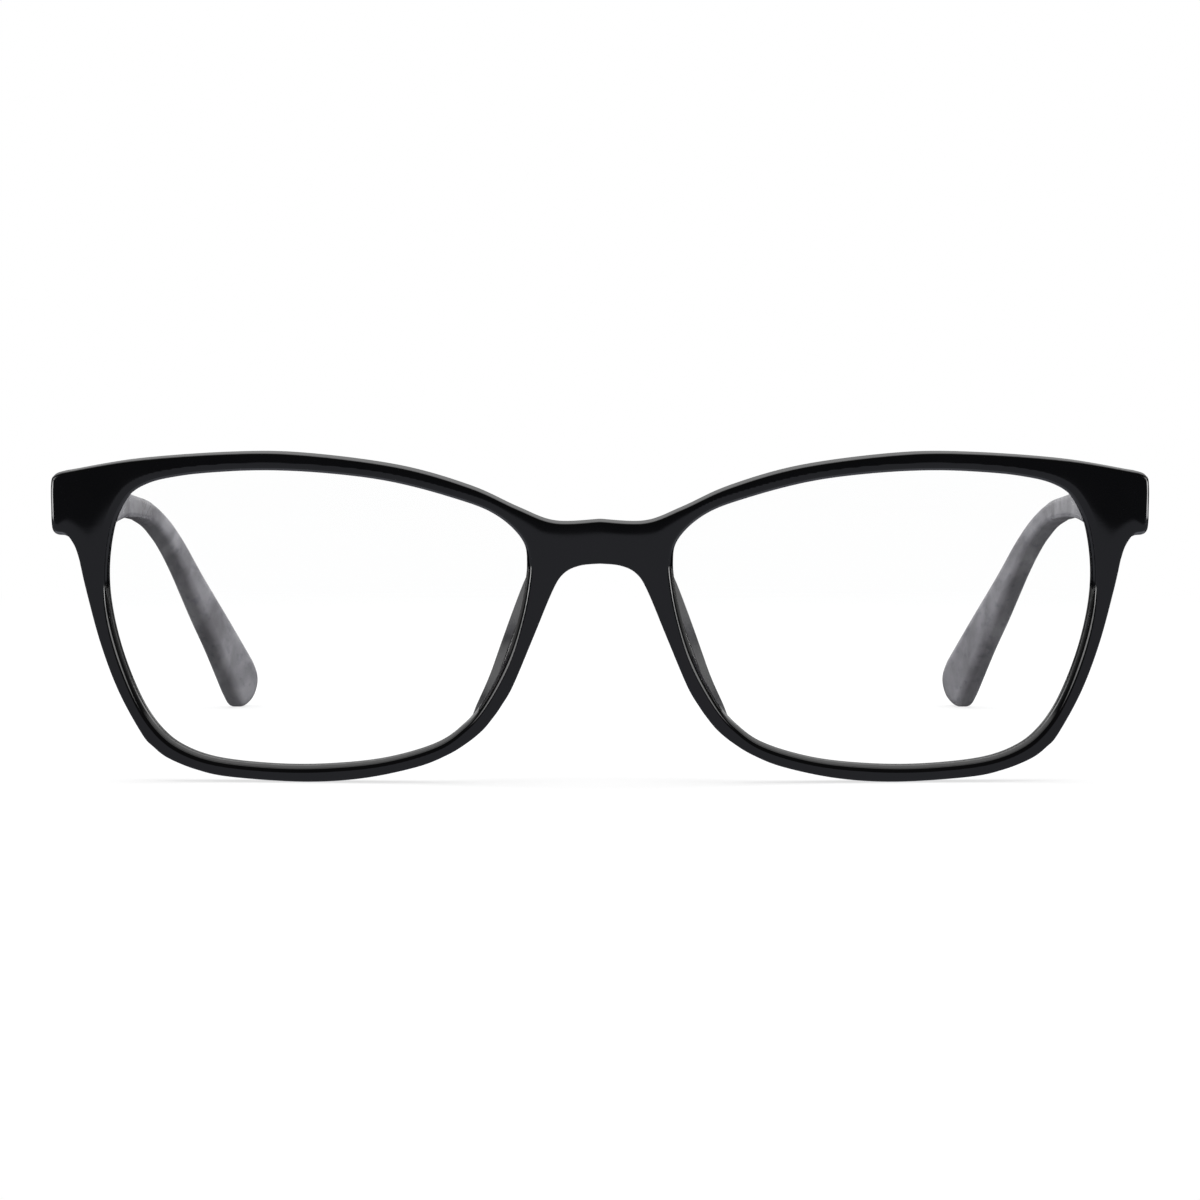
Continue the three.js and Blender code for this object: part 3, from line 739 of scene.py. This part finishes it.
build_front()
build_pair("temple_{}_polished", temple_field, *TEMPLE_SPACE, TEMPLE_STEP, "temple_arm", "temple_{}",
           "temple_acetate", SMOKE, temple_bend)
build_pair("pad_{}", pad_field, *PAD_SPACE, PAD_STEP, "front", "nose_pad_{}", "pad_plastic", PAD, wrap)
build_pair("clear_lens_{}", lens_field, *LENS_SPACE, LENS_STEP, "front", "lens_{}", "demo_lens", LENS, wrap)
build_hinges()
for hand in ("left", "right"):
    wire = frame["nodes"][f"temple_core_wire_{hand}"]
    wire.data.materials.clear()
    wire.data.materials.append(CORE_METAL)

# ---------- studio ----------

FLOOR_SIZE = 6.0
FLOOR_Z = -0.00008  # just clear of the rims and tips, so that nothing sinks in
NEAR_WHITE = 0.7  # share of the floor by the glasses that is plain white, to soften their shadow
WHITE_FROM = (0.12, 0.4)  # distance over which the rest of it turns white
FLOOR_BOUNCE = 0.09
SKY_FRONT, SKY_SIDE, SKY_BACK = 0.14, 2.2, 0.5
OVERHEAD_SPOT, OVERHEAD_SIZE, OVERHEAD_POWER = (0.0, 0.25, 1.6), 2.2, 34

# What polished parts see. Distances are on the table, in metres. Directions are parts of a unit vector.
TABLE_LIT = 0.257  # the table is lit out to this distance
TABLE_GLOW = (0.40, 0.41, 0.46, 1)
DARK = 0.06
BACK_GLOW, FLANK_GLOW = 0.35, 0.42
OVERHEAD_GLOW, OVERHEAD_FROM = 1.7, (0.45, 0.6)
SIDE_GLOW, SIDE_RISE, SIDE_FALL = 2.8, (0.26, 0.34), (0.5, 0.7)
STRIP_GLOW, STRIP_START, STRIP_TOP = 4.5, (0.5, 0.52), (0.15, 0.3)
PANEL_START, PANEL_END, PANEL_GLOW = (0.68, 0.7), (0.86, 0.89), 11.0
PANEL_BEYOND = (0.25, 0.3)
HORIZON = (0.8, 1.1)  # distance from which the floor looks like the walls


class Studio(Tree):
    """One node tree's reflected room: what polished parts see in each direction."""

    def ramp(self, value, low, high, to_low, to_high):
        return self.remap(value, low, high, to_low, to_high, "SMOOTHSTEP")

    def times(self, first, *others):
        for other in others:
            first = self.math("MULTIPLY", first, other)
        return first

    def band(self, value, rise, fall, top):
        """0 below rise, top between the two ramps, 0 above fall."""
        return self.times(self.ramp(value, *rise, 0.0, 1.0), self.ramp(value, *fall, top, 0.0))

    def all_round(self, x, y, z=None):
        """Glow by compass direction: nearly even behind and aside, and two upright strips in front."""
        aside = self.math("ABSOLUTE", x, 0.0)
        behind = self.ramp(y, -0.1, 0.4, 0.0, 1.0)
        bright = self.ramp(aside, 0.25, 0.6, BACK_GLOW, FLANK_GLOW)
        front = self.ramp(y, -0.1, 0.1, STRIP_GLOW, 0.0)
        strip = self.times(self.band(aside, STRIP_START, PANEL_END, 1.0), front)
        if z is not None:
            strip = self.times(strip, self.ramp(z, *STRIP_TOP, 1.0, 0.0))
        return self.math("MAXIMUM", self.times(behind, bright), strip)

    def glow(self, kind, strength, colour=(1, 1, 1, 1)):
        node = self.new(kind)
        node.inputs["Color"].default_value = colour
        self.feed(strength, node.inputs["Strength"])
        return node.outputs[0]


def floor():
    """Pale matte table. Polished parts see it lit near the glasses, with a bright panel on each side."""
    mesh = bpy.data.meshes.new("floor")
    s = FLOOR_SIZE / 2
    mesh.from_pydata([(-s, -s, 0), (s, -s, 0), (s, s, 0), (-s, s, 0)], [], [(0, 1, 2, 3)])
    obj = bpy.data.objects.new("floor", mesh)
    obj.location.z = FLOOR_Z
    bpy.context.scene.collection.objects.link(obj)
    n = Nodes("pale_floor")
    grain = n.noise(n.place, 40, 4)
    n.set(Base_Color=n.ramp(grain, (0.3, (0.87, 0.87, 0.87)), (0.7, (0.88, 0.88, 0.885))), Roughness=0.9)
    n.shader.inputs["Specular IOR Level"].default_value = 0.0
    room = Studio(n.tree)
    length = room.new("ShaderNodeVectorMath", operation="LENGTH")
    n.link(n.place, length.inputs[0])
    distance = length.outputs["Value"]
    away = room.new("ShaderNodeVectorMath", operation="NORMALIZE")
    n.link(n.place, away.inputs[0])
    x, y, _ = room.split(away.outputs["Vector"])
    lit = room.ramp(distance, TABLE_LIT, TABLE_LIT * 1.05, 1.0, DARK / TABLE_GLOW[0])
    table = room.glow("ShaderNodeEmission", room.times(lit, room.ramp(y, -0.1, 0.3, 1.0, 0.0)), TABLE_GLOW)
    walls = room.times(room.ramp(distance, *HORIZON, 0.0, 1.0), room.all_round(x, y))
    aside = room.math("ABSOLUTE", x, 0.0)
    panel = room.times(room.band(aside, PANEL_START, PANEL_END, PANEL_GLOW), room.ramp(y, 0.0, 0.2, 1.0, 0.0),
                       room.ramp(distance, *PANEL_BEYOND, 0.0, 1.0))
    around = room.glow("ShaderNodeEmission", room.math("MAXIMUM", walls, panel))
    both = room.new("ShaderNodeAddShader")
    n.link(table, both.inputs[0])
    n.link(around, both.inputs[1])
    path = room.new("ShaderNodeLightPath")
    bounce = room.glow("ShaderNodeEmission", FLOOR_BOUNCE)
    white = room.glow("ShaderNodeEmission", 1.0)
    seen = room.blend(n.shader.outputs[0], white, room.ramp(distance, *WHITE_FROM, NEAR_WHITE, 1.0))
    shaded = room.blend(seen, bounce, path.outputs["Is Diffuse Ray"])
    n.link(room.blend(shaded, both.outputs[0], path.outputs["Is Glossy Ray"]), n.output.inputs["Surface"])
    obj.data.materials.append(n.material)


def world():
    """White to the camera, soft light mostly from the sides, and the reflected room for gloss."""
    sky = bpy.data.worlds.new("studio")
    sky.use_nodes = True
    sky.node_tree.nodes.clear()
    room = Studio(sky.node_tree)
    x, y, z = room.split(room.new("ShaderNodeTexCoord").outputs["Generated"])
    aside = room.math("ABSOLUTE", x, 0.0)
    overhead = room.ramp(z, *OVERHEAD_FROM, 0.0, OVERHEAD_GLOW)
    overhead = room.times(overhead, room.ramp(y, -0.4, -0.15, 0.0, 1.0))
    flank = room.times(room.band(z, SIDE_RISE, SIDE_FALL, SIDE_GLOW), room.ramp(aside, 0.4, 0.6, 0.0, 1.0),
                       room.ramp(y, 0.2, 0.4, 0.0, 1.0))
    lights = room.math("MAXIMUM", room.math("MAXIMUM", overhead, DARK), flank)
    reflected = room.glow("ShaderNodeBackground", room.math("MAXIMUM", lights, room.all_round(x, y, z)))
    sides = room.ramp(aside, 0.5, 0.8, 0.0, SKY_SIDE)
    ends = room.ramp(y, -0.4, 0.6, SKY_FRONT, SKY_BACK)
    soft = room.glow("ShaderNodeBackground", room.math("MAXIMUM", sides, ends))
    white = room.glow("ShaderNodeBackground", 1.0)
    path = room.new("ShaderNodeLightPath")
    seen = room.blend(soft, reflected, path.outputs["Is Glossy Ray"])
    seen = room.blend(seen, white, path.outputs["Is Camera Ray"])
    room.link(seen, room.new("ShaderNodeOutputWorld").inputs["Surface"])
    bpy.context.scene.world = sky


def softbox(name, spot, size, power):
    light = bpy.data.lights.new(name, "AREA")
    light.shape, light.size, light.energy = "SQUARE", size, power
    obj = bpy.data.objects.new(name, light)
    obj.location = spot
    obj.rotation_euler = (-Vector(spot)).to_track_quat("-Z", "Y").to_euler()
    obj.visible_glossy = False
    bpy.context.scene.collection.objects.link(obj)


def camera():
    """In front of the bridge, looking level along the worn temples. Seen is the picture's width there."""
    distance, height, seen = 600.0, 2.2, 148.56
    data = bpy.data.cameras.new("camera")
    data.sensor_width = 36
    data.lens = data.sensor_width * distance / seen
    obj = bpy.data.objects.new("camera", data)
    obj.location = row_place([(0, -distance, height)])[0]
    ahead = Vector(TURN @ np.array((0, 1, 0)))
    obj.rotation_euler = ahead.to_track_quat("-Z", "Y").to_euler()
    bpy.context.scene.collection.objects.link(obj)
    bpy.context.scene.camera = obj


floor()
world()
softbox("overhead", OVERHEAD_SPOT, OVERHEAD_SIZE, OVERHEAD_POWER)
camera()
bpy.context.scene.view_settings.view_transform = "Standard"
